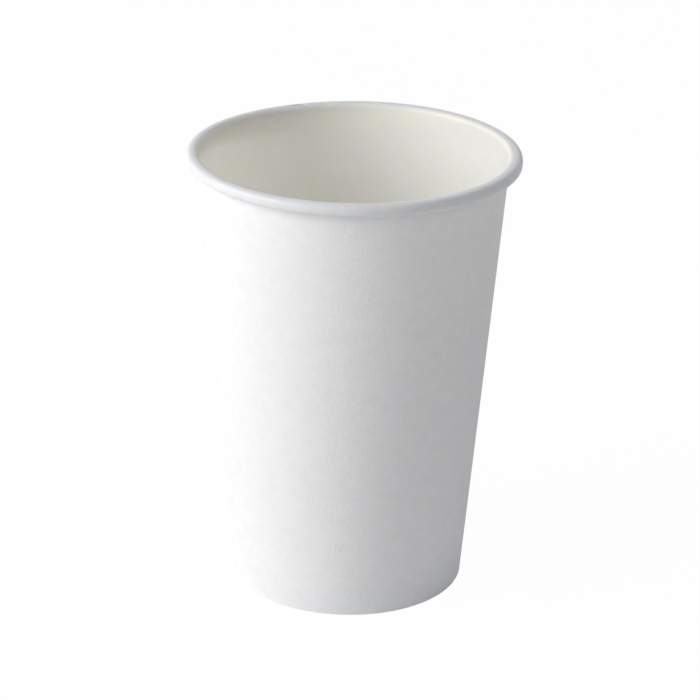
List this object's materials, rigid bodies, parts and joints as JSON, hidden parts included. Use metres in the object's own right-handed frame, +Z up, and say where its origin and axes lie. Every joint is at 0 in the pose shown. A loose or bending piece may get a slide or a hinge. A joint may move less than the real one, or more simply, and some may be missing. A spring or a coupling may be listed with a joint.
{
  "type": "paper coffee cup",
  "caption": "Tall tapered paper cup for hot drinks, open at the top, with a rolled rim, a lapped side seam and a recessed base held in a folded foot.",
  "frame": {"origin": "centre of the foot ring, on the surface that the cup stands on", "axes": "+Z up along the cup's axis to the open rim, -Y towards the viewer of the picture, the side seam at the back towards +Y"},
  "size_m": [0.08, 0.08, 0.109],
  "materials": {
    "wall_board": "matte",
    "base_board": "satin"
  },
  "bodies": {
    "root": {"side_wall": "wall_board", "bottom_disc": "base_board"}
  },
  "joints": []
}
